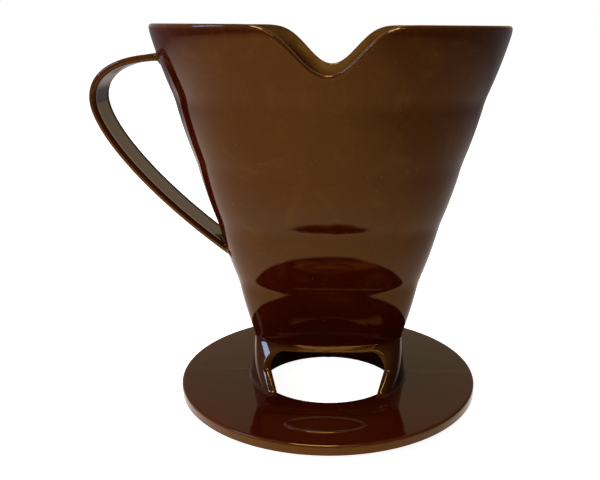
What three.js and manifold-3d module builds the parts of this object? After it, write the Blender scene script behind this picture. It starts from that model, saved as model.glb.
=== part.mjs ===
// Pour-over coffee dripper: an oval cone of five barrel-shaped bands with a pouring notch at the
// front and the back, a windowed pedestal, a round base disc with a locating collar, and a strap
// handle. The real dripper is one plastic moulding, so every solid here is one moulded feature of
// it, and neighbours keep a small gap. Millimetres, +Z up, standing on the collar at z = 0.
import * as THREE from 'three';
import { mergeVertices } from 'three/addons/utils/BufferGeometryUtils.js';
import { ParametricGeometry } from 'three/addons/geometries/ParametricGeometry.js';
import Module from 'manifold-3d';

const wasm = await Module();
wasm.setup();

// ---------- driving dimensions ----------
const GAP = 0.3; // clearance between neighbouring solids
const WALL = 2; // wall of the cone

// base
const DISC_RADIUS = 60;
const DISC_BOTTOM = 3.3; // the collar stands this far below the disc
const DISC_TOP = DISC_BOTTOM + 4;
const DISC_PLATE = 2.2;
const SKIRT_WALL = 2;
const EDGE_ROUND = 0.8;
const HOLE_RADIUS = 28.4;
const COLLAR_WALL = 2.6;

// cone: half sizes at the bottom, at each crease between two bands, and at the rim
const CONE_BOTTOM = DISC_TOP + 16.4;
const BAND_HEIGHT = 24.1;
const HALF_WIDTHS = [29.8, 36.1, 43.3, 50.6, 58.0, 66.3];
const HALF_DEPTHS = [7.0, 14.4, 23.7, 33.0, 39.0, 46.8];
const BAND_COUNT = HALF_WIDTHS.length - 1;
// how far a band swells past a straight line between its creases, at the ends and the middle
const END_BULGE = 0.45;
const FRONT_BULGE = 0.8;
const BOTTOM_POWER = 3; // plan outline as a superellipse: blunt at the bottom
const RIM_POWER = 2.1; // and almost a true ellipse at the rim
const RIM_LIP = 2.1; // rounded edge above the last band
const RIM_TOP = CONE_BOTTOM + BAND_COUNT * BAND_HEIGHT + RIM_LIP;
const NOTCH_DEPTH = 15.8;
const NOTCH_HALF_WIDTH = 32;
const NOTCH_POWER = 2; // above 1 the notch is sharper than a plain cosine wave
const RIM_CHAMFER = WALL / 3;

// floor and nozzle
const FLOOR_THICKNESS = 2;
const DRIP_RADIUS = 1.8;
const NOZZLE_RADIUS = 4;
const NOZZLE_TIP_RADIUS = 3;
const NOZZLE_LENGTH = 9.5;

// pedestal: a wall from the bottom of the cone out to a round foot, with a window front and back
const FOOT_RADIUS = 32;
const PEDESTAL_WALL = 2.6;
const PEDESTAL_TOP_DEPTH = 8;
const FOOT_POWER = 2;
const WINDOW_TOP = CONE_BOTTOM - 3.5;
const WINDOW_HALF_TOP = 22.6;
const WINDOW_HALF_BOTTOM = 19.2;
const WINDOW_CORNER = 6;
const LINTEL_HALF = 15; // each lintel ends here and the legs begin

// oval pad on the front of the disc
const PAD_HALF_WIDTH = 15;
const PAD_HALF_DEPTH = 5.9;
const PAD_CENTRE_Y = -45.7;
const PAD_SINK = 0.7;
const PAD_RISE = 0.4;

// handle: a strap with thicker edges, swept along two Bezier arcs in the plane y = 0
// each arc is its four [x, z] control points
const STRAP_HALF_WIDTH = 9.15;
const STRAP_THICKNESS = 2.6;
const STRAP_EDGE = 2; // width of each thicker edge
const STRAP_RECESS = 0.5; // how far the web lies below the edges
const HANDLE_LEFT = -89.1;
const HANDLE_TOP = DISC_TOP + 128.5;
const HANDLE_BEND = DISC_TOP + 111.6; // height of the leftmost point
const BEND_POINT = [HANDLE_LEFT, HANDLE_BEND];
const UPPER_ARC = [[-60, HANDLE_TOP], [-79.5, HANDLE_TOP], [HANDLE_LEFT, HANDLE_BEND + 10], BEND_POINT];
const LOWER_ARC = [
  BEND_POINT,
  [HANDLE_LEFT, HANDLE_BEND - 12.6],
  [-68.5, HANDLE_BEND - 37.1],
  [-38, DISC_TOP + 51.6],
];

// fineness of the curved surfaces
const BAND_STEPS = 3; // straight runs up one band
const PEDESTAL_STEPS = 2;
const CORNER_SEGMENTS = 6;
const RING_SEGMENTS = 48;
const RIM_SEGMENTS = 96;
const DISC_SEGMENTS = 72;
const HANDLE_STEPS = 36;

// ---------- solids ----------
function toSolid(geometry) {
  const plain = geometry.clone();
  plain.deleteAttribute('normal');
  plain.deleteAttribute('uv');
  const merged = mergeVertices(plain);
  const vertProperties = new Float32Array(merged.attributes.position.array);
  const triVerts = new Uint32Array(merged.index.array);
  return new wasm.Manifold(new wasm.Mesh({ numProp: 3, vertProperties, triVerts }));
}

function toGeometry(solid) {
  const { vertProperties, triVerts } = solid.getMesh();
  const geometry = new THREE.BufferGeometry();
  geometry.setAttribute('position', new THREE.BufferAttribute(vertProperties, 3));
  geometry.setIndex(new THREE.BufferAttribute(triVerts, 1));
  return geometry;
}

function boxSolid([x0, y0, z0], [x1, y1, z1]) {
  const box = new THREE.BoxGeometry(x1 - x0, y1 - y0, z1 - z0);
  return toSolid(box.translate((x0 + x1) / 2, (y0 + y1) / 2, (z0 + z1) / 2));
}

// ---------- plan outline of the cone ----------
function ovalPoint(halfWidth, halfDepth, power, angle) {
  const stretch = (value) => Math.sign(value) * Math.abs(value) ** (2 / power);
  return [halfWidth * stretch(Math.cos(angle)), halfDepth * stretch(Math.sin(angle))];
}

// outer half sizes and roundness of the cone at a height
function coneSize(z) {
  const place = THREE.MathUtils.clamp((z - CONE_BOTTOM) / BAND_HEIGHT, 0, BAND_COUNT);
  const band = Math.min(Math.floor(place), BAND_COUNT - 1);
  const along = place - band;
  const swell = 4 * along * (1 - along);
  return {
    halfWidth: THREE.MathUtils.lerp(HALF_WIDTHS[band], HALF_WIDTHS[band + 1], along) + END_BULGE * swell,
    halfDepth: THREE.MathUtils.lerp(HALF_DEPTHS[band], HALF_DEPTHS[band + 1], along) + FRONT_BULGE * swell,
    power: THREE.MathUtils.lerp(BOTTOM_POWER, RIM_POWER, place / BAND_COUNT),
  };
}

// outer half sizes of the pedestal: a straight flare from the cone's bottom to the round foot
function pedestalSize(z) {
  const down = (CONE_BOTTOM - z) / (CONE_BOTTOM - DISC_TOP);
  return {
    halfWidth: THREE.MathUtils.lerp(HALF_WIDTHS[0], FOOT_RADIUS, down),
    halfDepth: THREE.MathUtils.lerp(PEDESTAL_TOP_DEPTH, FOOT_RADIUS, down),
    power: THREE.MathUtils.lerp(BOTTOM_POWER, FOOT_POWER, down),
  };
}

// A closed ring round the z axis. Its section is a loop of corners { size, inset, z }, listed
// with the outer face upwards and the inner face downwards.
function ovalRing(sectionAt, segments) {
  const cornerCount = sectionAt(0).length;
  const place = (u, v, target) => {
    const angle = 2 * Math.PI * u;
    const { size, inset, z } = sectionAt(angle)[Math.round(v * cornerCount) % cornerCount];
    const [x, y] = ovalPoint(size.halfWidth - inset, size.halfDepth - inset, size.power, angle);
    target.set(x, y, z);
  };
  return new ParametricGeometry(place, segments, cornerCount);
}

// section of a wall whose outer face follows sizeAt between two heights
function wallSection(sizeAt, bottom, top, thickness, steps) {
  const heights = Array.from({ length: steps + 1 }, (_, i) => bottom + ((top - bottom) * i) / steps);
  const outer = heights.map((z) => ({ size: sizeAt(z), inset: 0, z }));
  const inner = heights.map((z) => ({ size: sizeAt(z), inset: thickness, z })).reverse();
  return [...outer, ...inner];
}

// ---------- cone ----------
function coneBand(index) {
  const bottom = CONE_BOTTOM + index * BAND_HEIGHT + GAP / 2;
  const section = wallSection(coneSize, bottom, bottom + BAND_HEIGHT - GAP, WALL, BAND_STEPS);
  return ovalRing(() => section, RING_SEGMENTS);
}

function notchDepth(x) {
  const wave = Math.cos((Math.PI * Math.min(Math.abs(x), NOTCH_HALF_WIDTH)) / NOTCH_HALF_WIDTH);
  return NOTCH_DEPTH * ((1 + wave) / 2) ** NOTCH_POWER;
}

// the last band carries the rim: its top follows the two notches and both edges are rounded
function rimBand() {
  const bottom = CONE_BOTTOM + (BAND_COUNT - 1) * BAND_HEIGHT + GAP / 2;
  const lip = coneSize(RIM_TOP);
  const sectionAt = (angle) => {
    const [x] = ovalPoint(lip.halfWidth, lip.halfDepth, lip.power, angle);
    const top = RIM_TOP - notchDepth(x);
    const wall = wallSection(coneSize, bottom, top - RIM_CHAMFER, WALL, BAND_STEPS);
    const insets = [RIM_CHAMFER, WALL - RIM_CHAMFER];
    const crest = insets.map((inset) => ({ size: coneSize(top), inset, z: top }));
    wall.splice(wall.length / 2, 0, ...crest);
    return wall;
  };
  return ovalRing(sectionAt, RIM_SEGMENTS);
}

// ---------- floor and nozzle ----------
function coneFloor() {
  const { halfWidth, halfDepth, power } = coneSize(CONE_BOTTOM);
  const inset = WALL + GAP;
  const outline = Array.from({ length: RING_SEGMENTS }, (_, i) => {
    const angle = (2 * Math.PI * i) / RING_SEGMENTS;
    return new THREE.Vector2(...ovalPoint(halfWidth - inset, halfDepth - inset, power, angle));
  });
  const floor = new THREE.Shape(outline);
  floor.holes.push(new THREE.Path().absarc(0, 0, DRIP_RADIUS));
  const plate = new THREE.ExtrudeGeometry(floor, { depth: FLOOR_THICKNESS, bevelEnabled: false });
  return plate.translate(0, 0, CONE_BOTTOM + GAP);
}

function lathe(profile, segments) {
  const points = [...profile, profile[0]].map(([radius, z]) => new THREE.Vector2(radius, z));
  return new THREE.LatheGeometry(points, segments).rotateX(Math.PI / 2);
}

function dripNozzle() {
  const top = CONE_BOTTOM;
  const bottom = top - NOZZLE_LENGTH;
  const profile = [
    [DRIP_RADIUS, bottom],
    [NOZZLE_TIP_RADIUS - EDGE_ROUND, bottom],
    [NOZZLE_TIP_RADIUS, bottom + EDGE_ROUND],
    [NOZZLE_RADIUS, top],
    [DRIP_RADIUS, top],
  ];
  return lathe(profile, RING_SEGMENTS / 2);
}

// ---------- pedestal ----------
function windowCutter() {
  const sill = DISC_TOP - 1;
  const corner = WINDOW_CORNER;
  const opening = new THREE.Shape();
  opening.moveTo(-WINDOW_HALF_BOTTOM, sill);
  opening.lineTo(WINDOW_HALF_BOTTOM, sill);
  opening.lineTo(WINDOW_HALF_TOP, WINDOW_TOP - corner);
  opening.absarc(WINDOW_HALF_TOP - corner, WINDOW_TOP - corner, corner, 0, Math.PI / 2, false);
  opening.absarc(corner - WINDOW_HALF_TOP, WINDOW_TOP - corner, corner, Math.PI / 2, Math.PI, false);
  const reach = 2 * FOOT_RADIUS + GAP;
  const options = { depth: 2 * reach, bevelEnabled: false, curveSegments: CORNER_SEGMENTS };
  const prism = new THREE.ExtrudeGeometry(opening, options);
  return toSolid(prism.rotateX(Math.PI / 2).translate(0, reach, 0));
}

function pedestalPieces() {
  const bottom = DISC_TOP + GAP;
  const top = CONE_BOTTOM - GAP / 2;
  const section = wallSection(pedestalSize, bottom, top, PEDESTAL_WALL, PEDESTAL_STEPS);
  const bell = toSolid(ovalRing(() => section, RING_SEGMENTS)).subtract(windowCutter());
  const reach = 2 * FOOT_RADIUS;
  const legEdge = LINTEL_HALF + GAP;
  const piece = (low, high) => toGeometry(bell.intersect(boxSolid(low, high)));
  return {
    left_leg: piece([-reach, -reach, 0], [-legEdge, reach, CONE_BOTTOM]),
    right_leg: piece([legEdge, -reach, 0], [reach, reach, CONE_BOTTOM]),
    front_lintel: piece([-LINTEL_HALF, -reach, 0], [LINTEL_HALF, 0, CONE_BOTTOM]),
    back_lintel: piece([-LINTEL_HALF, 0, 0], [LINTEL_HALF, reach, CONE_BOTTOM]),
  };
}

// ---------- base ----------
function ovalPad(grow, bottom, top) {
  const outline = new THREE.Shape();
  outline.absellipse(0, 0, PAD_HALF_WIDTH + grow, PAD_HALF_DEPTH + grow, 0, 2 * Math.PI);
  const pad = new THREE.ExtrudeGeometry(outline, { depth: top - bottom, bevelEnabled: false });
  return pad.translate(0, PAD_CENTRE_Y, bottom);
}

// the underside is cut back over the collar, so that the collar's top face clears the plate
function baseDisc() {
  const under = DISC_TOP - DISC_PLATE;
  const seatEdge = HOLE_RADIUS + COLLAR_WALL + 2 * GAP;
  const profile = [
    [HOLE_RADIUS, under + GAP],
    [seatEdge, under + GAP],
    [seatEdge, under],
    [DISC_RADIUS - SKIRT_WALL, under],
    [DISC_RADIUS - SKIRT_WALL, DISC_BOTTOM],
    [DISC_RADIUS, DISC_BOTTOM],
    [DISC_RADIUS, DISC_TOP - EDGE_ROUND],
    [DISC_RADIUS - EDGE_ROUND, DISC_TOP],
    [HOLE_RADIUS, DISC_TOP],
  ];
  const pocket = ovalPad(GAP, DISC_TOP - PAD_SINK - GAP, DISC_TOP + PAD_RISE);
  return toGeometry(toSolid(lathe(profile, DISC_SEGMENTS)).subtract(toSolid(pocket)));
}

function locatingCollar() {
  const top = DISC_TOP - DISC_PLATE;
  const outer = HOLE_RADIUS + COLLAR_WALL;
  const profile = [
    [HOLE_RADIUS, 0],
    [outer - EDGE_ROUND, 0],
    [outer, EDGE_ROUND],
    [outer, top],
    [HOLE_RADIUS, top],
  ];
  return lathe(profile, DISC_SEGMENTS);
}

// ---------- handle ----------
function handlePath() {
  const path = new THREE.CurvePath();
  [UPPER_ARC, LOWER_ARC].forEach((arc) => {
    const points = arc.map(([x, z]) => new THREE.Vector3(x, 0, z));
    path.add(new THREE.CubicBezierCurve3(...points));
  });
  return path;
}

// Section of the strap as [across, outwards] points. Its outer face lies on the path, and one
// half mirrors the other.
function strapSection() {
  const edge = STRAP_HALF_WIDTH - STRAP_EDGE;
  const web = edge - STRAP_RECESS;
  const half = [
    [web, -STRAP_RECESS],
    [edge, 0],
    [STRAP_HALF_WIDTH, 0],
    [STRAP_HALF_WIDTH, -STRAP_THICKNESS],
    [edge, -STRAP_THICKNESS],
    [web, STRAP_RECESS - STRAP_THICKNESS],
  ];
  const mirrored = half.map(([across, outwards]) => [-across, outwards]).reverse();
  return new THREE.Shape([...half, ...mirrored].map(([x, y]) => new THREE.Vector2(x, y)));
}

// a thick ring with the cone's outer face, grown by the gap, to trim what meets the cone
function coneClearance() {
  const heights = Array.from({ length: 4 * BAND_COUNT + 1 }, (_, i) => {
    return CONE_BOTTOM + (i * BAND_HEIGHT) / 4;
  });
  const outer = heights.map((z) => ({ size: coneSize(z), inset: -GAP, z }));
  const inner = heights.map((z) => {
    const { halfWidth, halfDepth, power } = coneSize(z);
    return { size: { halfWidth: halfWidth / 2, halfDepth: halfDepth / 2, power }, inset: 0, z };
  });
  const section = [...outer, ...inner.reverse()];
  return toSolid(ovalRing(() => section, RIM_SEGMENTS));
}

// the strap runs into the cone's wall at both ends, so the clearance trims it there
function handleStrap() {
  const options = { steps: HANDLE_STEPS, extrudePath: handlePath(), bevelEnabled: false };
  const strap = toSolid(new THREE.ExtrudeGeometry(strapSection(), options));
  return toGeometry(strap.subtract(coneClearance()));
}

// ---------- assembly ----------
const brownPlastic = new THREE.MeshStandardMaterial({ color: 0x3a1508, roughness: 0.18, metalness: 0 });
const dripper = new THREE.Group();

function addPiece(name, geometry) {
  const mesh = new THREE.Mesh(geometry, brownPlastic.clone());
  mesh.name = name;
  dripper.add(mesh);
}

addPiece('base_disc', baseDisc());
addPiece('locating_collar', locatingCollar());
addPiece('oval_pad', ovalPad(0, DISC_TOP - PAD_SINK, DISC_TOP + PAD_RISE));
Object.entries(pedestalPieces()).forEach(([name, geometry]) => addPiece(name, geometry));
addPiece('drip_nozzle', dripNozzle());
addPiece('cone_floor', coneFloor());
const bandNames = ['bottom_band', 'lower_band', 'middle_band', 'upper_band'];
bandNames.forEach((name, index) => addPiece(name, coneBand(index)));
addPiece('rim_band', rimBand());
addPiece('handle_strap', handleStrap());

// the origin is the centre of the whole footprint, so the cone's axis lies off it
dripper.position.x = -(HANDLE_LEFT + HALF_WIDTHS[BAND_COUNT]) / 2;

export default dripper;
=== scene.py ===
"""Looks of the pour-over dripper: smooth gloss-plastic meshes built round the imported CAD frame.

The real dripper is one moulding, so the visible pieces run into each other without seams:
the cone with its floor and nozzle, the pedestal, the base, the oval badge and the handle.
Lengths are in metres; MM turns the drawing's millimetres into them.
"""
import math

import bmesh
import bpy
import numpy as np
from mathutils import Matrix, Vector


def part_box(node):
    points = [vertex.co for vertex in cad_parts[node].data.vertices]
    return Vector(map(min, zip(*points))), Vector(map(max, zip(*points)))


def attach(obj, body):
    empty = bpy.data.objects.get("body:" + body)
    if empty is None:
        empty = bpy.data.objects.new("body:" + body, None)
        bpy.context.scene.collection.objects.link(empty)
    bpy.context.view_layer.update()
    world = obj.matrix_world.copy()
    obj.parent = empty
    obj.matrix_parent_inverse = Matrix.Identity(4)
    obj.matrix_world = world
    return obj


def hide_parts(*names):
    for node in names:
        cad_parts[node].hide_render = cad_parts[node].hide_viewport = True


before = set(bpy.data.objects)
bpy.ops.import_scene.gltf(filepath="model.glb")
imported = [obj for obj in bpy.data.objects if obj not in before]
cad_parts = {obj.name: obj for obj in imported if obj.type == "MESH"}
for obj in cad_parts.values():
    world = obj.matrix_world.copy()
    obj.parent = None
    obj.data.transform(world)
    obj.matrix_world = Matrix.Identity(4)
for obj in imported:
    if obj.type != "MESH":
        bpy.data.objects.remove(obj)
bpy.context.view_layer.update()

MM = 0.001
# between neighbouring CAD solids
GAP = 0.3 * MM
WALL = 2.0 * MM
PLATE_THICKNESS = 2.2 * MM
PEDESTAL_HEIGHT = 16.4 * MM
# keeps the disc's edge inside the CAD's box whatever the rounding of its numbers
BOX_MARGIN = 0.01 * MM

# ---------- sizes read from the frame ----------
disc_low, disc_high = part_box("base_disc")
collar_low, collar_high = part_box("locating_collar")
floor_low, floor_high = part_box("cone_floor")
nozzle_low, nozzle_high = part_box("drip_nozzle")
pad_low, pad_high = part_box("oval_pad")
rim_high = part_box("rim_band")[1]
strap_low, strap_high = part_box("handle_strap")

BAND_NAMES = ["bottom_band", "lower_band", "middle_band", "upper_band", "rim_band"]
BAND_COUNT = len(BAND_NAMES)
AXIS_X = (disc_low.x + disc_high.x) / 2
AXIS = np.array([AXIS_X, 0, 0])
DISC_RADIUS = (disc_high.x - disc_low.x) / 2 - BOX_MARGIN
DISC_TOP = disc_high.z
DISC_BOTTOM = disc_low.z
PLATE_BOTTOM = DISC_TOP - PLATE_THICKNESS
COLLAR_RADIUS = (collar_high.x - collar_low.x) / 2
CONE_BOTTOM = DISC_TOP + PEDESTAL_HEIGHT
RIM_TOP = rim_high.z
RIM_HALF_DEPTH = 46.8 * MM
BAND_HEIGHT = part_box("middle_band")[0].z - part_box("lower_band")[0].z


def half_size(low, high):
    return (high.x - low.x) / 2, (high.y - low.y) / 2


def crease_sizes():
    """Outer half sizes of the cone at its bottom, at each crease and at the rim."""
    floor_width, floor_depth = half_size(floor_low, floor_high)
    sizes = [(floor_width + WALL + GAP, floor_depth + WALL + GAP)]
    sizes += [half_size(*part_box(name)) for name in BAND_NAMES]
    # the notches cut away the deepest part of the rim band
    sizes[-1] = (sizes[-1][0], RIM_HALF_DEPTH)
    return np.array(sizes)


CREASES = crease_sizes()

# ---------- sizes that only shape the surface ----------
# how far each band swells out halfway up, at the oval's ends and at its front and back
END_BULGE = 0.45 * MM
FRONT_BULGE = 0.8 * MM
CREASE_BLEND = 2.0 * MM
BLEND_SAMPLES = 7
# powers of the oval's outline: 2 is an ellipse, more is blunter
BOTTOM_POWER = 3.0
RIM_POWER = 2.1
ROUND = 2
NOTCH_DEPTH = 15.8 * MM
NOTCH_HALF_WIDTH = 32 * MM
NOTCH_POWER = 2
RIM_OUTER_ROUND = 1.35 * MM
FLOOR_FILLET = 2 * MM
DRIP_RADIUS = 1.8 * MM
DRIP_ROUND_ABOVE = 0.5 * MM
DRIP_ROUND_BELOW = 0.4 * MM
NOZZLE_TAPER = 1 * MM
NOZZLE_ROUND = 0.6 * MM
NOZZLE_FILLET = 1 * MM
# flat ring kept round each end of the drip hole
NOZZLE_LAND = 1.5 * MM
# the cone's wall runs this far down and in, hidden inside the pedestal's shoulder
CONE_EMBED = 0.8 * MM
CONE_EMBED_INSET = 1.4 * MM
COLLAR_WALL = 2.6 * MM
HOLE_RADIUS = COLLAR_RADIUS - COLLAR_WALL
SKIRT_WALL = 2 * MM
FOOT_RADIUS = 32 * MM
PEDESTAL_WALL = 2.6 * MM
PEDESTAL_TOP_DEPTH = 8 * MM
SHOULDER_ROUND = 1.2 * MM
SHOULDER_LAND = 0.1 * MM
# insets of the narrow ridge on the shoulder, hidden inside the cone's wall
HIDDEN_OUTER_INSET = 2 * MM
HIDDEN_INNER_INSET = PEDESTAL_WALL - 0.2 * MM
FOOT_FILLET = 1.1 * MM
LINTEL_HEIGHT = 3.5 * MM
WINDOW_TOP = CONE_BOTTOM - LINTEL_HEIGHT
WINDOW_HALF_TOP = 22.6 * MM
WINDOW_HALF_BOTTOM = 19.2 * MM
WINDOW_CORNER = 6 * MM
WINDOW_ROUND = 2.0 * MM
# how far the pedestal runs on into the disc below it and the cone above it
EMBED = 0.3 * MM

# ---------- how fine the meshes are ----------
CORNER_POINTS = 8
FLAT_STEP = 3 * MM
FLAT_LEAD = 0.25 * MM
SHORTEST_FLAT = 1.2 * MM
MERGE_DISTANCE = 2e-6
CONE_COLUMNS = 328
# sets the columns closer in angle at the front and back, where the blunt oval spreads them
COLUMN_CROWDING = 0.1
OUTER_LOW_RINGS = 110
OUTER_HIGH_RINGS = 30
INNER_HIGH_RINGS = 20
INNER_LOW_RINGS = 50
RIM_OUTER_STEPS = 9
RIM_INNER_STEPS = 6
FILLET_STEPS = 8
FLOOR_RINGS = 18
UNDERSIDE_RINGS = 12
WINDOW_STEPS = 26
WINDOW_ROUND_STEPS = 9
FAN_STEPS = 30
# sets the fan's rows closer beside the window than far from it
FAN_POWER = 1.3
SHOULDER_STEPS = 8
BASE_COLUMNS = 360
BADGE_COLUMNS = 160
HANDLE_RINGS = 200
WEB_POINTS = 7
SLOPE_POINTS = 8
BEAD_POINTS = 19
# of the search for the place where the strap meets the cone
HALVINGS = 40

# ---------- painted edge glow: amber painted on thin edges for light through and on them; 0 is the plain body, 1 the full amber ---
RIM_GLOW = 0.15
RIM_GLOW_DROP = 2.5 * MM
LIP_GLOW = 0.6
# the painted glow runs this far down the cone's inside from its rim
INNER_GLOW_DROP = 9 * MM
WINDOW_GLOW = 0.15
WINDOW_GLOW_LOSS = 0.1
# painted glow on the lintel, for the light it catches
LINTEL_GLOW = 0.25
LEG_GLOW = 0.05
# the leg's glow is gone after one part in this many of the way out from the window
LEG_GLOW_FALL = 4
DISC_GLOW = 0.15
DISC_GLOW_WIDTH = 1.2 * MM
BADGE_GLOW = 0.1
HANDLE_GLOW = 0.18
ROOT_GLOW_LOSS = 0.5


# ---------- mesh tools ----------
def ease(value):
    value = np.clip(value, 0, 1)
    return value * value * (3 - 2 * value)


def mix(low, high, share):
    return low + (high - low) * share


def turns(start, stop, count):
    """Angles in radians from start to stop degrees."""
    return np.linspace(math.radians(start), math.radians(stop), count)


def grid_faces(index, wrap_rows=False, wrap_columns=False):
    """Quads of a grid of vertex numbers."""
    if wrap_rows:
        index = np.concatenate([index, index[:1]])
    if wrap_columns:
        index = np.concatenate([index, index[:, :1]], 1)
    corners = [index[:-1, :-1], index[:-1, 1:], index[1:, 1:], index[1:, :-1]]
    return np.stack(corners, -1).reshape(-1, 4).tolist()


def make_piece(name, points, faces, painted_edge_glow, replaced, merge=False):
    """A smooth mesh piece that stands for CAD nodes, with a point attribute from 0 to 1 for the
    painted glow of light on its thin edges.
    """
    mesh = bpy.data.meshes.new(name)
    mesh.from_pydata(np.asarray(points).tolist(), [], faces)
    # painted glow of light on thin edges, from 0 to 1
    glow = mesh.attributes.new("painted_edge_glow", "FLOAT", "POINT")
    glow.data.foreach_set("value", np.asarray(painted_edge_glow, dtype=np.float32))
    shape = bmesh.new()
    shape.from_mesh(mesh)
    if merge:
        bmesh.ops.remove_doubles(shape, verts=shape.verts, dist=MERGE_DISTANCE)
    bmesh.ops.recalc_face_normals(shape, faces=shape.faces)
    for face in shape.faces:
        face.smooth = True
    shape.to_mesh(mesh)
    shape.free()
    piece = bpy.data.objects.new(name, mesh)
    bpy.context.scene.collection.objects.link(piece)
    piece.data.materials.append(PLASTIC)
    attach(piece, "root")
    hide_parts(*replaced)


def oval(half_width, half_depth, power, angle):
    """x and y of an oval's points, with its axis at zero."""
    def stretch(value):
        return np.sign(value) * np.abs(value) ** (2 / power)

    return half_width * stretch(np.cos(angle)), half_depth * stretch(np.sin(angle))


def ring(half_width, half_depth, power, angle, z):
    """Points of an oval round the dripper's axis, at the heights z."""
    x, y = oval(half_width, half_depth, power, angle)
    return np.stack([AXIS_X + x, y, np.broadcast_to(z, x.shape)], -1)


def rounded_path(corners, closed):
    """Points of an outline through (radius, z, rounding) corners, with a point close to each
    rounding so that the flat faces between them shade flat."""
    spots = np.array([corner[:2] for corner in corners])
    outline = []
    for index, (_, _, rounding) in enumerate(corners):
        here = spots[index]
        if rounding == 0:
            outline.append(here)
            continue
        before = spots[index - 1] - here
        after = spots[(index + 1) % len(spots)] - here
        before = before / np.linalg.norm(before)
        after = after / np.linalg.norm(after)
        for t in np.linspace(0, 1, CORNER_POINTS):
            outline.append(here + rounding * ((1 - t) ** 2 * before + t**2 * after))
    following = outline[1:] + (outline[:1] if closed else [])
    path = []
    for start, stop in zip(outline, following):
        path.append(start)
        length = np.linalg.norm(stop - start)
        if length > SHORTEST_FLAT:
            lead = FLAT_LEAD / length
            middle = np.linspace(0, 1, 2 + int(length / FLAT_STEP))[1:-1]
            path += [mix(start, stop, share) for share in [lead, *middle, 1 - lead]]
    return path if closed else path + outline[-1:]


# ---------- the cone's outline ----------
def raw_cone_size(z):
    """Outer half sizes of the cone at heights z, with sharp creases between the swelling bands."""
    place = np.clip((z - CONE_BOTTOM) / BAND_HEIGHT, 0, BAND_COUNT)
    band = np.minimum(place.astype(int), BAND_COUNT - 1)
    along = place - band
    swell = 4 * along * (1 - along)
    width = mix(CREASES[band, 0], CREASES[band + 1, 0], along) + END_BULGE * swell
    depth = mix(CREASES[band, 1], CREASES[band + 1, 1], along) + FRONT_BULGE * swell
    return width, depth


def cone_size(z):
    """Outer half sizes and roundness at heights z, with each crease softened."""
    z = np.asarray(z, float)
    shifts = np.linspace(-CREASE_BLEND, CREASE_BLEND, BLEND_SAMPLES)
    widths, depths = zip(*(raw_cone_size(z + shift) for shift in shifts))
    place = np.clip((z - CONE_BOTTOM) / BAND_HEIGHT, 0, BAND_COUNT)
    power = mix(BOTTOM_POWER, RIM_POWER, place / BAND_COUNT)
    return np.mean(widths, 0), np.mean(depths, 0), power


def cone_ring(z, inset, angle):
    """Points round the cone's wall, set in from its outer face."""
    width, depth, power = cone_size(z)
    return ring(width - inset, depth - inset, power, angle, z)


def notch_depth(x):
    """How far the rim dips at a distance x beside the middle of a notch."""
    wave = np.cos(np.pi * np.minimum(np.abs(x), NOTCH_HALF_WIDTH) / NOTCH_HALF_WIDTH)
    return NOTCH_DEPTH * ((1 + wave) / 2) ** NOTCH_POWER


# ---------- cone, floor and nozzle ----------
def rim_heights(angle):
    """Height of the rim all round, with its two notches."""
    width, _, power = cone_size(RIM_TOP)
    rim_x, _ = oval(width, width, power, angle)
    return RIM_TOP - notch_depth(rim_x)


def underside_rings(angle, floor_edge):
    """From the floor's edge in to the drip hole, down the nozzle and back out under the floor."""
    nozzle_root = (nozzle_high.x - nozzle_low.x) / 2
    path = rounded_path([
        (DRIP_RADIUS + NOZZLE_LAND, floor_high.z, 0),
        (DRIP_RADIUS, floor_high.z, DRIP_ROUND_ABOVE),
        (DRIP_RADIUS, nozzle_low.z, DRIP_ROUND_BELOW),
        (nozzle_root - NOZZLE_TAPER, nozzle_low.z, NOZZLE_ROUND),
        (nozzle_root, floor_low.z, NOZZLE_FILLET),
        (nozzle_root + NOZZLE_LAND, floor_low.z, 0),
    ], closed=False)
    circles = [ring(radius, radius, ROUND, angle, z) for radius, z in path]
    under_edge = cone_ring(np.full_like(angle, floor_low.z), PEDESTAL_WALL, angle)
    hidden_z = np.full_like(angle, CONE_BOTTOM - CONE_EMBED)
    hidden = cone_ring(hidden_z, CONE_EMBED_INSET, angle)
    floor_shares = np.linspace(0, 1, FLOOR_RINGS)[1:-1]
    under_shares = np.linspace(0, 1, UNDERSIDE_RINGS)[1:]
    floor = [mix(floor_edge, circles[0], share) for share in floor_shares]
    under = [mix(circles[-1], under_edge, share) for share in under_shares]
    return floor + circles + under + [hidden]


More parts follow.
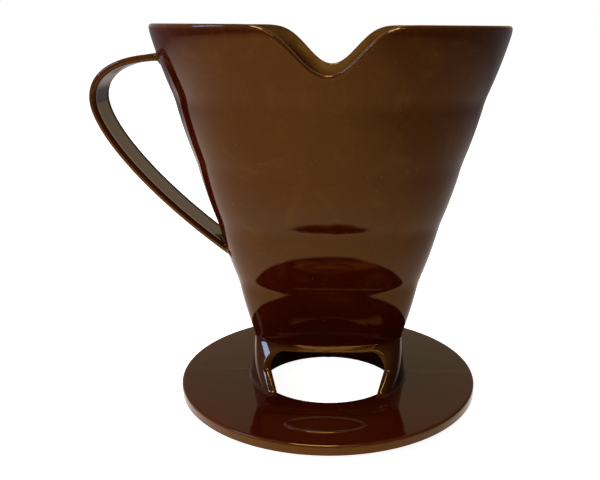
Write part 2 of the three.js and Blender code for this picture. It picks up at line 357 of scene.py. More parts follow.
def build_cone():
    """One closed sheet: up the outside, over the rim, down the inside, across the floor,
    through the nozzle and back out under the floor."""
    even = np.linspace(0, 2 * np.pi, CONE_COLUMNS, endpoint=False)
    angle = even + COLUMN_CROWDING * np.sin(2 * even)
    top = rim_heights(angle)
    last_crease = CONE_BOTTOM + (BAND_COUNT - 1) * BAND_HEIGHT
    low = np.linspace(CONE_BOTTOM - CONE_EMBED, last_crease, OUTER_LOW_RINGS)[:, None]
    high_shares = np.linspace(0, 1, OUTER_HIGH_RINGS)[1:, None]
    high = mix(last_crease, top - RIM_OUTER_ROUND, high_shares)
    heights = list(np.concatenate([np.repeat(low, len(angle), 1), high]))
    rings = [cone_ring(z, 0, angle) for z in heights]
    glow = [RIM_GLOW * ease(1 - (top - z) / RIM_GLOW_DROP) for z in heights]
    for turn in turns(0, 90, RIM_OUTER_STEPS)[1:]:
        drop = RIM_OUTER_ROUND * (1 - math.sin(turn))
        rings.append(cone_ring(top - drop, RIM_OUTER_ROUND * (1 - math.cos(turn)), angle))
        glow.append(np.full_like(angle, RIM_GLOW))
    inner_round = WALL - RIM_OUTER_ROUND
    for turn in turns(90, 0, RIM_INNER_STEPS)[1:]:
        drop = inner_round * (1 - math.sin(turn))
        rings.append(cone_ring(top - drop, WALL - inner_round * (1 - math.cos(turn)), angle))
        glow.append(np.full_like(angle, LIP_GLOW))
    fillet_top = floor_high.z + FLOOR_FILLET
    inner_shares = np.linspace(1, 0, INNER_HIGH_RINGS)[1:, None]
    inner_high = mix(last_crease, top - inner_round, inner_shares)
    inner_low = np.linspace(last_crease, fillet_top, INNER_LOW_RINGS)[1:-1, None]
    for z in np.concatenate([inner_high, np.repeat(inner_low, len(angle), 1)]):
        rings.append(cone_ring(z, WALL, angle))
        glow.append(ease(1 - (top - z) / INNER_GLOW_DROP))
    for turn in turns(0, 90, FILLET_STEPS):
        z = np.full_like(angle, fillet_top - FLOOR_FILLET * math.sin(turn))
        rings.append(cone_ring(z, WALL + FLOOR_FILLET * (1 - math.cos(turn)), angle))
    rings += underside_rings(angle, rings[-1])
    glow += [np.zeros_like(angle)] * (len(rings) - len(glow))
    index = np.arange(len(rings) * len(angle)).reshape(len(rings), len(angle))
    faces = grid_faces(index, wrap_rows=True, wrap_columns=True)
    names = BAND_NAMES + ["cone_floor", "drip_nozzle"]
    make_piece("cone", np.concatenate(rings), faces, np.concatenate(glow), names)


# ---------- pedestal ----------
def pedestal_size(z):
    """Outer half sizes of the pedestal: a straight flare with a small fillet at its foot."""
    down = (CONE_BOTTOM - z) / (CONE_BOTTOM - DISC_TOP)
    power = mix(BOTTOM_POWER, ROUND, np.clip(down, 0, 1))
    low = np.clip(1 - (z - DISC_TOP) / FOOT_FILLET, 0, 1)
    fillet = FOOT_FILLET * (1 - np.sqrt(1 - low**2))
    width = mix(CREASES[0, 0], FOOT_RADIUS, down) + fillet
    depth = mix(PEDESTAL_TOP_DEPTH, FOOT_RADIUS, down) + fillet
    return width, depth, power


def pedestal_point(angle, z, inset):
    """Points of the pedestal's wall, set in from its outer face."""
    width, depth, power = pedestal_size(z)
    return ring(width - inset, depth - inset, power, angle, z)


def angle_at(x, z, inset):
    """Oval angle of the pedestal's face at a given x and height, where x and y are positive."""
    width, _, power = pedestal_size(z)
    return np.arccos(np.clip(x / (width - inset), 0, 1) ** (power / 2))


def window_outline(count):
    """Half of the window's edge as x and z, from the foot of its right side to mid lintel."""
    centre = np.array([WINDOW_HALF_TOP - WINDOW_CORNER, WINDOW_TOP - WINDOW_CORNER])
    foot = np.array([WINDOW_HALF_BOTTOM, DISC_TOP - EMBED])
    spring = centre + [WINDOW_CORNER, 0]
    jamb = mix(foot, spring, np.linspace(0, 1, count, endpoint=False)[:, None])
    turn = turns(0, 90, count)[:, None]
    bend = centre + WINDOW_CORNER * np.concatenate([np.cos(turn), np.sin(turn)], 1)
    middle = np.array([0, WINDOW_TOP])
    lintel = mix(bend[-1], middle, np.linspace(0, 1, count + 1)[1:, None])
    outline = np.concatenate([jamb, bend, lintel])
    return outline[:, 0], outline[:, 1]


def away_from_window(angle, z):
    """Steps in angle and in height that move one metre square away from the window's edge."""
    nudge = 1e-5
    along = np.gradient(pedestal_point(angle, z, 0), axis=0)
    by_angle = pedestal_point(angle + nudge, z, 0) - pedestal_point(angle - nudge, z, 0)
    by_angle /= 2 * nudge
    by_height = pedestal_point(angle, z + nudge, 0) - pedestal_point(angle, z - nudge, 0)
    by_height /= 2 * nudge
    away = np.cross(np.cross(by_angle, by_height), along)
    away /= np.linalg.norm(away, axis=1)[:, None]
    steps = []
    for row in range(len(z)):
        system = np.stack([by_angle[row], by_height[row]], 1)
        steps.append(np.linalg.lstsq(system, away[row], rcond=None)[0])
    return np.array(steps).T


def pedestal_quarter():
    """One quarter of the wall: a fan from the window's rounded edge out to the quarter's side
    line and shoulder, then over the shoulder. Returns points, faces and painted edge glow."""
    count = WINDOW_STEPS
    x, z = window_outline(count)
    columns = len(x)
    shoulder = CONE_BOTTOM - SHOULDER_ROUND
    edge = angle_at(x, z, WINDOW_ROUND)
    inner_edge = angle_at(x, z, PEDESTAL_WALL)
    step_angle, step_z = away_from_window(edge, z)
    far_angle = edge + WINDOW_ROUND * step_angle
    far_z = np.minimum(z + WINDOW_ROUND * step_z, shoulder - SHOULDER_LAND)
    side_z = np.linspace(z[0], shoulder, count, endpoint=False)
    end_z = np.concatenate([side_z, np.full(columns - count, shoulder)])
    lintel_end = angle_at(x[2 * count - 1], shoulder, 0)
    above_lintel = angle_at(x[2 * count:], np.full(count, shoulder), 0)
    end_angle = np.concatenate([np.zeros(count), np.linspace(0, lintel_end, count), above_lintel])
    # painted glow over the lintel for the light it catches, fading out down the top corners
    lintel_share = ease((z - WINDOW_TOP + WINDOW_CORNER) / WINDOW_CORNER)
    outer, inner, glow = [], [], []
    for turn in turns(0, 90, WINDOW_ROUND_STEPS)[:-1]:
        reach = 1 - math.cos(turn)
        height = mix(z, far_z, reach)
        inset = WINDOW_ROUND * (1 - math.sin(turn))
        outer.append(pedestal_point(mix(edge, far_angle, reach), height, inset))
        inner.append(pedestal_point(mix(inner_edge, far_angle, reach), height, PEDESTAL_WALL))
        glow.append(WINDOW_GLOW - WINDOW_GLOW_LOSS * reach + LINTEL_GLOW * lintel_share)
    for share in np.linspace(0, 1, FAN_STEPS) ** FAN_POWER:
        angle = mix(far_angle, end_angle, share)
        height = mix(far_z, end_z, share)
        outer.append(pedestal_point(angle, height, 0))
        inner.append(pedestal_point(angle, height, PEDESTAL_WALL))
        leg_glow = LEG_GLOW * max(0, 1 - LEG_GLOW_FALL * share)
        glow.append(leg_glow + LINTEL_GLOW * (1 - share) * lintel_share)
    top_angle = end_angle[count:]
    outer_top, inner_top = [], []
    for turn in turns(0, 90, SHOULDER_STEPS)[1:]:
        height = np.full(len(top_angle), shoulder + SHOULDER_ROUND * math.sin(turn))
        inset = SHOULDER_ROUND * (1 - math.cos(turn))
        outer_top.append(pedestal_point(top_angle, height, inset))
        inner_top.append(pedestal_point(top_angle, height, PEDESTAL_WALL))
    outer_top.append(pedestal_point(top_angle, height + EMBED, HIDDEN_OUTER_INSET))
    inner_top.append(pedestal_point(top_angle, height + EMBED, HIDDEN_INNER_INSET))
    points, indices, offset = [], [], 0
    for face, top in ((outer, outer_top), (inner, inner_top)):
        face_index = np.arange(len(face) * columns).reshape(len(face), columns) + offset
        offset += face_index.size
        top_index = np.arange(len(top) * len(top_angle)).reshape(len(top), -1) + offset
        offset += top_index.size
        points += [np.concatenate(face), np.concatenate(top)]
        indices += [face_index, np.concatenate([face_index[-1:, count:], top_index])]
    outside, outside_top, inside, inside_top = indices
    strips = [outside, outside_top, inside[::-1], inside_top[::-1],
              np.stack([inside[0], outside[0]]),
              np.stack([outside_top[-1], inside_top[-1]]),
              np.stack([outside[:, 0], inside[:, 0]])]
    faces = [quad for strip in strips for quad in grid_faces(strip)]
    side_glow = np.concatenate([np.concatenate(glow), np.zeros(len(outer_top) * len(top_angle))])
    return np.concatenate(points), faces, np.concatenate([side_glow, side_glow])


def build_pedestal():
    """Four mirrored quarters make the wall with its two windows."""
    quarter, quads, glow = pedestal_quarter()
    points, faces = [], []
    for flip_x in (1, -1):
        for flip_y in (1, -1):
            offset = len(points) * len(quarter)
            points.append((quarter - AXIS) * [flip_x, flip_y, 1] + AXIS)
            faces += [[corner + offset for corner in quad] for quad in quads]
    names = ["left_leg", "right_leg", "front_lintel", "back_lintel"]
    make_piece("pedestal", np.concatenate(points), faces, np.tile(glow, 4), names, merge=True)


# ---------- base ----------
def build_base():
    """The disc with its turned-down skirt and the collar below it, turned round the axis."""
    skirt_inside = DISC_RADIUS - SKIRT_WALL
    # corners of the cross-section: radius, height and rounding
    profile = rounded_path([
        (HOLE_RADIUS, DISC_TOP, 0.6 * MM),
        (DISC_RADIUS, DISC_TOP, 1.1 * MM),
        (DISC_RADIUS, DISC_BOTTOM, 0.6 * MM),
        (skirt_inside, DISC_BOTTOM, 0.5 * MM),
        (skirt_inside, PLATE_BOTTOM, 0.7 * MM),
        (COLLAR_RADIUS, PLATE_BOTTOM, 0.9 * MM),
        (COLLAR_RADIUS, 0, 1.0 * MM),
        (HOLE_RADIUS, 0, 0.7 * MM),
    ], closed=True)
    angle = np.linspace(0, 2 * np.pi, BASE_COLUMNS, endpoint=False)
    rings = [ring(radius, radius, ROUND, angle, z) for radius, z in profile]
    index = np.arange(len(rings) * len(angle)).reshape(len(rings), len(angle))
    radii = np.array([radius for radius, _ in profile])
    rim_share = np.clip(1 + (radii - DISC_RADIUS) / DISC_GLOW_WIDTH, 0, 1)
    faces = grid_faces(index, wrap_rows=True, wrap_columns=True)
    glow = np.repeat(DISC_GLOW * rim_share, len(angle))
    make_piece("base", np.concatenate(rings), faces, glow, ["base_disc", "locating_collar"])


def build_badge():
    """The oval boss on the disc: a raised border round a plain, lower field."""
    middle = np.array([(pad_low.x + pad_high.x) / 2, (pad_low.y + pad_high.y) / 2, 0])
    half_width, half_depth = half_size(pad_low, pad_high)
    rise = pad_high.z - DISC_TOP
    # inset from the edge in millimetres, and height as a share of the rise
    border = [(0, -1), (0, 0), (0.12, 0.55), (0.3, 0.85), (0.55, 1), (0.85, 1), (1.1, 0.85),
              (1.3, 0.55), (1.45, 0.35), (1.7, 0.25), (2.4, 0.22), (3.4, 0.22), (4.4, 0.22)]
    angle = np.linspace(0, 2 * np.pi, BADGE_COLUMNS, endpoint=False)
    points, glow = [], []
    for inset, height in border:
        x, y = oval(half_width - inset * MM, half_depth - inset * MM, ROUND, angle)
        z = np.full_like(x, DISC_TOP + rise * height)
        points.append(np.stack([x, y, z], -1) + middle)
        on_border = height > 0.5
        glow.append(np.full_like(angle, BADGE_GLOW if on_border else 0))
    index = np.arange(len(border) * len(angle)).reshape(len(border), len(angle))
    faces = grid_faces(index, wrap_columns=True)
    faces += [index[-1].tolist(), index[0][::-1].tolist()]
    make_piece("oval_badge", np.concatenate(points), faces, np.concatenate(glow), ["oval_pad"])


# ---------- handle ----------
HANDLE_TOP = strap_high.z
HANDLE_LEFT = strap_low.x - AXIS_X
HANDLE_BEND = 118.9 * MM
# two Bezier arcs in the plane y = 0: x from the axis and height of their control points
HANDLE_CURVES = np.array([
    [[-60 * MM, HANDLE_TOP], [-79.5 * MM, HANDLE_TOP],
     [HANDLE_LEFT, HANDLE_TOP - 6.9 * MM], [HANDLE_LEFT, HANDLE_BEND]],
    [[HANDLE_LEFT, HANDLE_BEND], [HANDLE_LEFT, HANDLE_BEND - 12.6 * MM],
     [-68.5 * MM, 81.8 * MM], [-38 * MM, 58.9 * MM]],
])
STRAP_HALF_WIDTH = (strap_high.y - strap_low.y) / 2
STRAP_THICKNESS = 2.6 * MM
# the web lies this far below the crests of its two beads, on the outer and the inner face
OUTER_RECESS = 0.5 * MM
INNER_RECESS = 0.25 * MM
BEAD_SLOPE = 1.9 * MM
ROOT_FILLET = 1.3 * MM
# painted glow at a bead's foot, and turn and tightness of the painted highlight on its crest
BEAD_FOOT = 0.25
PAINTED_HIGHLIGHT_TURN = math.radians(25)
PAINTED_HIGHLIGHT_TIGHTNESS = 8


def strap_section():
    """Rows of y, depth under the outer face, and share of painted edge glow and crest highlight."""
    bead = STRAP_THICKNESS / 2
    bead_y = STRAP_HALF_WIDTH - bead
    web_y = bead_y - BEAD_SLOPE
    inner_depth = STRAP_THICKNESS - INNER_RECESS
    web = np.linspace(0, 1, WEB_POINTS)[:-1]
    slope = np.linspace(0, 1, SLOPE_POINTS)[:-1]
    right = [(web_y * share, OUTER_RECESS, 0) for share in web]
    for share in slope:
        outside = OUTER_RECESS * (1 - ease(share))
        right.append((mix(web_y, bead_y, share), outside, BEAD_FOOT * share))
    for turn in turns(90, -90, BEAD_POINTS):
        # a painted highlight line runs along each bead's crest
        line = max(0, math.cos(turn - PAINTED_HIGHLIGHT_TURN)) ** PAINTED_HIGHLIGHT_TIGHTNESS
        glow_and_highlight = BEAD_FOOT + (1 - BEAD_FOOT) * line
        right.append((bead_y + bead * math.cos(turn), bead - bead * math.sin(turn), glow_and_highlight))
    for share in slope[::-1]:
        inside = mix(inner_depth, STRAP_THICKNESS, ease(share))
        right.append((mix(web_y, bead_y, share), inside, BEAD_FOOT * share))
    right += [(web_y * share, inner_depth, 0) for share in web[::-1]]
    right = np.array(right, float)
    return np.concatenate([right, right[::-1][1:-1] * [-1, 1, 1]])


def handle_frame(place):
    """Point of the handle's outer face and its inward normal, at places from 0 to 2."""
    place = np.clip(place, 0, 2)
    curve = np.minimum(place.astype(int), 1)
    t = (place - curve)[..., None]
    a, b, c, d = (HANDLE_CURVES[curve, corner] for corner in range(4))
    point = a * (1 - t) ** 3 + 3 * b * t * (1 - t) ** 2 + 3 * c * t**2 * (1 - t) + d * t**3
    slope = (b - a) * (1 - t) ** 2 + 2 * (c - b) * t * (1 - t) + (d - c) * t**2
    slope /= np.linalg.norm(slope, axis=-1)[..., None]
    return point, np.stack([-slope[..., 1], slope[..., 0]], -1)


def handle_point(place, y, depth):
    """Points of the strap at places along its curve, y across it and a depth under its face."""
    point, inward = handle_frame(place)
    spot = point + inward * depth[..., None]
    return np.stack([AXIS_X + spot[..., 0], y + 0 * depth, spot[..., 1]], -1)


def outside_cone(points, inset):
    """Positive outside the cone's wall, negative inside it."""
    width, depth, power = cone_size(points[..., 2])
    x = np.abs(points[..., 0] - AXIS_X) / (width - inset)
    y = np.abs(points[..., 1]) / (depth - inset)
    return x**power + y**power - 1


def meet_cone(y, depth, low, high, inset):
    """Place along each line of the strap where it meets the cone's wall, between low and high."""
    low = np.full_like(y, low)
    high = np.full_like(y, high)
    low_side = np.sign(outside_cone(handle_point(low, y, depth), inset))
    for _ in range(HALVINGS):
        middle = (low + high) / 2
        same = np.sign(outside_cone(handle_point(middle, y, depth), inset)) == low_side
        low = np.where(same, middle, low)
        high = np.where(same, high, middle)
    return (low + high) / 2


def build_handle():
    """The strap swept along its curve, each end run into the cone's wall with a small fillet."""
    section = strap_section()
    y, depth, edge = section.T
    sunk_start = meet_cone(y, depth, 0, 1, WALL / 2)
    sunk_stop = meet_cone(y, depth, 1, 2, WALL / 2)
    start = meet_cone(y, depth, 0, 1, 0)
    stop = meet_cone(y, depth, 1, 2, 0)
    first = handle_point(start, y, depth)
    last = handle_point(stop, y, depth)
    loop = np.stack([y, depth], -1)
    along = np.roll(loop, -1, 0) - np.roll(loop, 1, 0)
    outward = np.stack([along[:, 1], -along[:, 0]], -1)
    outward /= np.linalg.norm(outward, axis=1)[:, None]
    if np.sum(outward * (loop - loop.mean(0))) < 0:
        outward = -outward
    # the lower end leaves the cone at a low angle, so its outer face needs no fillet
    last_share = 1 + np.minimum(outward[:, 1], 0)
    rings, glow = [], []
    even = np.linspace(0, 1, HANDLE_RINGS)
    # halfway between even and eased, so that the rings stand closer at both roots
    for share in (even + ease(even)) / 2:
        place = mix(sunk_start, sunk_stop, share)
        spot = handle_point(place, y, depth)
        from_first = np.where(place < start, 0, np.linalg.norm(spot - first, axis=1))
        from_last = np.where(place > stop, 0, np.linalg.norm(spot - last, axis=1))
        near = np.clip(1 - np.minimum(from_first, from_last) / ROOT_FILLET, 0, 1)
        flare = ROOT_FILLET * (1 - np.sqrt(1 - near**2))
        if share > 0.5:
            flare = flare * last_share
        rings.append(handle_point(place, y + outward[:, 0] * flare, depth + outward[:, 1] * flare))
        # painted edge glow and crest highlight, weaker at the roots
        glow.append(HANDLE_GLOW * edge * (1 - ROOT_GLOW_LOSS * near))
    index = np.arange(len(rings) * len(y)).reshape(len(rings), len(y))
    faces = grid_faces(index, wrap_columns=True)
    faces += [index[0][::-1].tolist(), index[-1].tolist()]
    make_piece("handle", np.concatenate(rings), faces, np.concatenate(glow), ["handle_strap"])


# ---------- material ----------
class Nodes:
    """Shorthand for building one material's node tree."""

    def __init__(self, tree):
        self.tree = tree

    def add(self, kind, inputs=None, **settings):
        node = self.tree.nodes.new(kind)
        for name, value in settings.items():
            setattr(node, name, value)
        for name, value in (inputs or {}).items():
            self.feed(node.inputs[name], value)
        return node

    def feed(self, socket, value):
        if isinstance(value, bpy.types.NodeSocket):
            self.tree.links.new(value, socket)
        else:
            socket.default_value = value

    def math(self, operation, *values):
        node = self.add("ShaderNodeMath", operation=operation)
        for socket, value in zip(node.inputs, values):
            self.feed(socket, value)
        return node.outputs[0]

    def distance(self, first, second):
        spots = {0: first, 1: second}
        node = self.add("ShaderNodeVectorMath", spots, operation="DISTANCE")
        return node.outputs["Value"]

    def ramp(self, factor, low, high):
        """0 at low, 1 at high, and held there beyond them."""
        node = self.add("ShaderNodeMapRange", {"Value": factor, "From Min": low, "From Max": high})
        return node.outputs[0]

    def blend(self, factor, first, second):
        node = self.add("ShaderNodeMix", data_type="RGBA")
        self.feed(node.inputs[0], factor)
        self.feed(node.inputs[6], first)
        self.feed(node.inputs[7], second)
        return node.outputs[2]

    def noise(self, vector, scale, detail=2.0, roughness=0.5):
        inputs = {"Vector": vector, "Scale": scale, "Detail": detail, "Roughness": roughness}
        return self.add("ShaderNodeTexNoise", inputs).outputs["Fac"]


BODY_COLOR = (0.035, 0.0034, 0.0007, 1)
DEEP_COLOR = (0.029, 0.0024, 0.0005, 1)
STREAK_COLOR = (0.062, 0.019, 0.0022, 1)
SPECK_COLOR = (0.16, 0.10, 0.06, 1)
# amber of the painted glow on thin edges
PAINTED_GLOW_COLOR = (0.19, 0.085, 0.016, 1)
WARM_GLOSS = (1.0, 0.55, 0.13, 1)
PLASTIC_IOR = 1.45

# patterns in the plastic: waves per metre for each noise
CLOUD_SCALE = 38
FLOW_SCALE = 55
SPECK_SCALE = 1500
PATCH_SCALE = 130
SCRATCH_SCALE = 900
SMEAR_SCALE = 24
WAVE_SCALE = 60
# scratches run round the dripper, so their noise is squeezed along its axis
SCRATCH_SQUEEZE = 14
FLOW_TWIST = 1.6
# the part of each noise's range over which its marks fade in
CLOUD_RANGE = (0.35, 0.7)
STREAK_RANGE = (0.5, 0.9)
SPECK_RANGE = (0.74, 0.8)
SMEAR_RANGE = (0.45, 0.8)
SCRATCH_RANGE = (0.62, 0.8)
SPECK_STRENGTH = 0.5
# the painted edge glow's amber is patchy: this much of it everywhere, and up to 1 more in patches
LEAST_PATCH = 0.4

# roughness: of clean plastic, and what smears and scratches add
CLEAN_ROUGHNESS = 0.015
SMEAR_ROUGHNESS = 0.03
SCRATCH_ROUGHNESS = 0.06

# relief in millimetres
WAVE_RELIEF = 0.10
SPECK_RELIEF = 0.012
SCRATCH_RELIEF = 0.003
FLOW_RELIEF = 0.03
LINE_RELIEF = 0.05
# the parting line's half width, from full relief out to none, and its reach above the disc
LINE_CORE = 0.05 * MM
LINE_EDGE = 0.13 * MM
LINE_FADE_LOW = 0.1 * MM
LINE_FADE_HIGH = 0.5 * MM


def make_plastic():
    """Glossy dark red-brown plastic: amber painted on its thin edges for the light shining through
    and on them, with amber flow marks that set in up the cone, pale specks, a slight waviness,
    fine scratches and smears, and the mould's parting line across the disc."""
    material = bpy.data.materials.new("brown_plastic_gloss")
    material.use_nodes = True
    nodes = Nodes(material.node_tree)
    shader = material.node_tree.nodes["Principled BSDF"]
    place = nodes.add("ShaderNodeTexCoord").outputs["Object"]
    # the painted edge glow of each piece
    glow = nodes.add("ShaderNodeAttribute", attribute_name="painted_edge_glow").outputs["Fac"]
    cloud = nodes.noise(place, CLOUD_SCALE, detail=3)
    body = nodes.blend(nodes.ramp(cloud, *CLOUD_RANGE), DEEP_COLOR, BODY_COLOR)
    marks = {"Vector": place, "Scale": FLOW_SCALE, "Detail": 6, "Roughness": 0.65,
             "Distortion": FLOW_TWIST}
    flow = nodes.add("ShaderNodeTexNoise", marks).outputs["Fac"]
    axes = nodes.add("ShaderNodeSeparateXYZ", {"Vector": place})
    on_cone = nodes.ramp(axes.outputs["Z"], CONE_BOTTOM, CONE_BOTTOM + 2 * BAND_HEIGHT)
    streak = nodes.math("MULTIPLY", nodes.ramp(flow, *STREAK_RANGE), on_cone)
    body = nodes.blend(streak, body, STREAK_COLOR)
    speck = nodes.ramp(nodes.noise(place, SPECK_SCALE, detail=1), *SPECK_RANGE)
    body = nodes.blend(nodes.math("MULTIPLY", speck, SPECK_STRENGTH), body, SPECK_COLOR)
    # painted glow: amber laid into the base colour on thin edges, for light through and on them
    patch = nodes.ramp(nodes.noise(place, PATCH_SCALE, detail=3), 0, 1)
    amber = nodes.math("MULTIPLY", glow, nodes.math("ADD", patch, LEAST_PATCH))
    nodes.feed(shader.inputs["Base Color"], nodes.blend(amber, body, PAINTED_GLOW_COLOR))
    squeeze = nodes.add("ShaderNodeMapping", {"Vector": place, "Scale": (1, 1, SCRATCH_SQUEEZE)})
    scratch = nodes.noise(squeeze.outputs[0], SCRATCH_SCALE, detail=4, roughness=0.7)
    smear = nodes.noise(place, SMEAR_SCALE, detail=4, roughness=0.6)
    dull = nodes.math("MULTIPLY", nodes.ramp(smear, *SMEAR_RANGE), SMEAR_ROUGHNESS)
    worn = nodes.math("MULTIPLY", nodes.ramp(scratch, *SCRATCH_RANGE), SCRATCH_ROUGHNESS)
    roughness = nodes.math("ADD", nodes.math("ADD", dull, worn), CLEAN_ROUGHNESS)
    nodes.feed(shader.inputs["Roughness"], roughness)
    shader.inputs["IOR"].default_value = PLASTIC_IOR
    shader.inputs["Specular Tint"].default_value = WARM_GLOSS
    wave = nodes.noise(place, WAVE_SCALE, detail=2)
    across = nodes.math("ABSOLUTE", axes.outputs["Y"])
    on_line = nodes.ramp(across, LINE_EDGE, LINE_CORE)
    on_disc = nodes.ramp(axes.outputs["Z"], DISC_TOP + LINE_FADE_HIGH, DISC_TOP + LINE_FADE_LOW)
    height = nodes.math("MULTIPLY", wave, WAVE_RELIEF)
    line = nodes.math("MULTIPLY", on_line, on_disc)
    details = [(speck, SPECK_RELIEF), (scratch, SCRATCH_RELIEF), (flow, FLOW_RELIEF),
               (line, LINE_RELIEF)]
    for detail, relief in details:
        height = nodes.math("ADD", height, nodes.math("MULTIPLY", detail, relief))
    bump = nodes.add("ShaderNodeBump", {"Height": height, "Strength": 1.0, "Distance": 1 * MM})
    nodes.feed(shader.inputs["Normal"], bump.outputs[0])
    return material


# ---------- stage ----------
FLOOR_HALF_WIDTH = 12
FLOOR_POINTS = 9
# the floor lies a hair under the collar, so that the two faces don't fight for one height
FLOOR_DROP = 0.05 * MM
FLOOR_PALE = (0.95, 0.95, 0.95, 1)
FLOOR_SHADED = (0.93, 0.93, 0.935, 1)
FLOOR_CLOUD_SCALE = 30
FLOOR_ROUGHNESS = 0.7

# the floor's glow on the dripper: to its left, to its right, far away, and painted shadow under the
# disc
GLOW_LEFT = (1.65, 1.5, 1.4, 1)
GLOW_RIGHT = (0.75, 0.70, 0.66, 1)
GLOW_FAR = (0.225, 0.225, 0.235, 1)
PAINTED_SHADOW_UNDER_DISC = (0.03, 0.02, 0.015, 1)
# in metres: x where left starts to turn into right, x where it is all right, and the
# distances over which the far glow and the glow beside the disc take over
GLOW_LEFT_X = -0.02
GLOW_RIGHT_X = 0.16
GLOW_CENTRE = (-0.08, -0.14, 0)
GLOW_NEAR_REACH = 0.25
GLOW_FAR_REACH = 0.65
UNDER_DISC = 0.056
BESIDE_DISC = 0.062

WHITE = (1.0, 1.0, 1.0, 1)
ROOM_BACK = (0.50, 0.40, 0.27, 1)
# each side of the room: axis and the two shares of a direction along it between which the
# side's colour takes over
ROOM_SIDES = [
    ("Z", 0.3, 0.9, (0.15, 0.145, 0.14, 1)),
    ("Y", -0.1, -0.6, (0.07, 0.06, 0.055, 1)),
    ("X", -0.2, -0.9, (0.36, 0.37, 0.42, 1)),
    ("X", 0.2, 0.9, (0.11, 0.10, 0.10, 1)),
]

# lamps: name, place, target, width and height, power in watts, colour, and what can't see it
LAMPS = [
    ("window_left", (-0.9, -0.5, 0.7), (0, 0, 0.08), (0.7, 0.9), 10, (0.86, 0.92, 1.0), "glossy"),
    ("overhead", (-0.1, -0.1, 1.3), (0, 0, 0.05), (0.4, 0.4), 12, (1.0, 0.98, 0.95), None),
    ("sky_glint", (-0.70, -0.21, 0.67), (0, 0, 0.01), (0.38, 0.10), 9, (0.09, 0.22, 1.0),
     "diffuse"),
    ("front_glint", (0.1, -0.62, 1.0), (0, 0, 0.05), (0.6, 0.09), 3, (1.0, 0.8, 0.6), "diffuse"),
]

SENSOR_WIDTH = 36
LENS = 45.72
SHIFT_X = -0.05
CLIP_START = 0.01
CAMERA_PLACE = (AXIS_X + 5.5 * MM, -291.95 * MM, 146.1 * MM)
PITCH_DOWN = math.radians(15.75)
YAW = math.radians(1.0)
ROLL = math.radians(0.4)


def make_floor_material():
    """A plain pale matte floor. On the dripper it acts as a soft lamp: brightest in front and to
    the left, dim far away and almost dark under the disc, as a painted shadow."""
    material = bpy.data.materials.new("pale_floor")
    material.use_nodes = True
    nodes = Nodes(material.node_tree)
    shader = material.node_tree.nodes["Principled BSDF"]
    place = nodes.add("ShaderNodeTexCoord").outputs["Object"]
    cloud = nodes.noise(place, FLOOR_CLOUD_SCALE, detail=3)
    shade = nodes.blend(cloud, FLOOR_PALE, FLOOR_SHADED)
    nodes.feed(shader.inputs["Base Color"], shade)
    nodes.feed(shader.inputs["Emission Color"], shade)
    shader.inputs["Roughness"].default_value = FLOOR_ROUGHNESS
    shader.inputs["Specular IOR Level"].default_value = 0
    shader.inputs["Emission Strength"].default_value = 1.0
    axes = nodes.add("ShaderNodeSeparateXYZ", {"Vector": place})
    across = nodes.ramp(axes.outputs["X"], GLOW_LEFT_X, GLOW_RIGHT_X)
    near = nodes.blend(across, GLOW_LEFT, GLOW_RIGHT)
    reach = nodes.distance(place, GLOW_CENTRE)
    glow = nodes.blend(nodes.ramp(reach, GLOW_NEAR_REACH, GLOW_FAR_REACH), near, GLOW_FAR)
    from_axis = nodes.distance(place, (AXIS_X, 0, 0))
    # painted shadow: the glow sinks almost to dark under the disc
    glow = nodes.blend(nodes.ramp(from_axis, UNDER_DISC, BESIDE_DISC), PAINTED_SHADOW_UNDER_DISC, glow)
    lamp = nodes.add("ShaderNodeEmission", {"Color": glow, "Strength": 1.0})
    seen = nodes.add("ShaderNodeLightPath").outputs["Is Camera Ray"]
    both = nodes.add("ShaderNodeMixShader", {0: seen})
    material.node_tree.links.new(lamp.outputs[0], both.inputs[1])
    material.node_tree.links.new(shader.outputs[0], both.inputs[2])
    output = material.node_tree.nodes["Material Output"]
    material.node_tree.links.new(both.outputs[0], output.inputs["Surface"])
    return material


def build_floor():
    """A plain pale floor that stands well past the view on every side."""
    side = np.linspace(-FLOOR_HALF_WIDTH, FLOOR_HALF_WIDTH, FLOOR_POINTS)
    points = [(x, y, -FLOOR_DROP) for y in side for x in side]
    index = np.arange(len(points)).reshape(FLOOR_POINTS, FLOOR_POINTS)
    mesh = bpy.data.meshes.new("floor")
    mesh.from_pydata(points, [], grid_faces(index))
    floor = bpy.data.objects.new("floor", mesh)
    bpy.context.scene.collection.objects.link(floor)
    floor.data.materials.append(make_floor_material())


def view_matrix(place, right, up, forward):
    """Stands a lamp or camera at a place, looking forward."""
    rows = [[right[i], up[i], -forward[i], place[i]] for i in range(3)]
    return Matrix(rows + [[0, 0, 0, 1]])


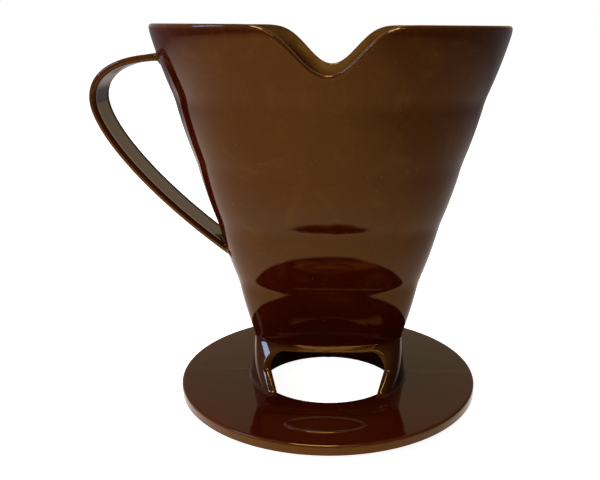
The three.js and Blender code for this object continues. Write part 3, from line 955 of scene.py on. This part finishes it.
def add_lamp(name, place, target, size, power, color, unseen_by):
    """A rectangular lamp turned to its target, with its width square to the y axis."""
    data = bpy.data.lights.new(name, "AREA")
    data.shape = "RECTANGLE"
    data.size, data.size_y = size
    data.energy = power
    data.color = color
    light = bpy.data.objects.new(name, data)
    bpy.context.scene.collection.objects.link(light)
    forward = np.subtract(target, place)
    forward /= np.linalg.norm(forward)
    right = np.cross(forward, [0, 1, 0.001])
    right /= np.linalg.norm(right)
    light.matrix_world = view_matrix(place, right, np.cross(right, forward), forward)
    if unseen_by:
        setattr(light, "visible_" + unseen_by, False)


def build_world():
    """A white backdrop, and round the dripper a soft room: warm behind, cool on the left, and dim
    overhead, on the right and in front."""
    world = bpy.data.worlds.new("studio")
    bpy.context.scene.world = world
    world.use_nodes = True
    nodes = Nodes(world.node_tree)
    background = world.node_tree.nodes["Background"]
    direction = nodes.add("ShaderNodeTexCoord").outputs["Generated"]
    axes = nodes.add("ShaderNodeSeparateXYZ", {"Vector": direction})
    room = ROOM_BACK
    for axis, start, full, color in ROOM_SIDES:
        room = nodes.blend(nodes.ramp(axes.outputs[axis], start, full), room, color)
    seen = nodes.add("ShaderNodeLightPath").outputs["Is Camera Ray"]
    nodes.feed(background.inputs["Color"], nodes.blend(seen, room, WHITE))
    background.inputs["Strength"].default_value = 1.0


def build_camera():
    """Level with the rim and close in front, looking down on the disc."""
    data = bpy.data.cameras.new("camera")
    camera = bpy.data.objects.new("camera", data)
    bpy.context.scene.collection.objects.link(camera)
    data.sensor_width = SENSOR_WIDTH
    data.lens = LENS
    data.shift_x = SHIFT_X
    data.clip_start = CLIP_START
    level = np.array([math.cos(YAW), math.sin(YAW), 0])
    ahead = np.array([-math.sin(YAW), math.cos(YAW), 0])
    forward = math.cos(PITCH_DOWN) * ahead - [0, 0, math.sin(PITCH_DOWN)]
    up = math.sin(PITCH_DOWN) * ahead + [0, 0, math.cos(PITCH_DOWN)]
    right = math.cos(ROLL) * level + math.sin(ROLL) * up
    upright = math.cos(ROLL) * up - math.sin(ROLL) * level
    camera.matrix_world = view_matrix(CAMERA_PLACE, right, upright, forward)
    bpy.context.scene.camera = camera


bpy.context.scene.view_settings.view_transform = "Standard"
PLASTIC = make_plastic()
build_cone()
build_pedestal()
build_base()
build_badge()
build_handle()
build_floor()
build_world()
for lamp in LAMPS:
    add_lamp(*lamp)
build_camera()
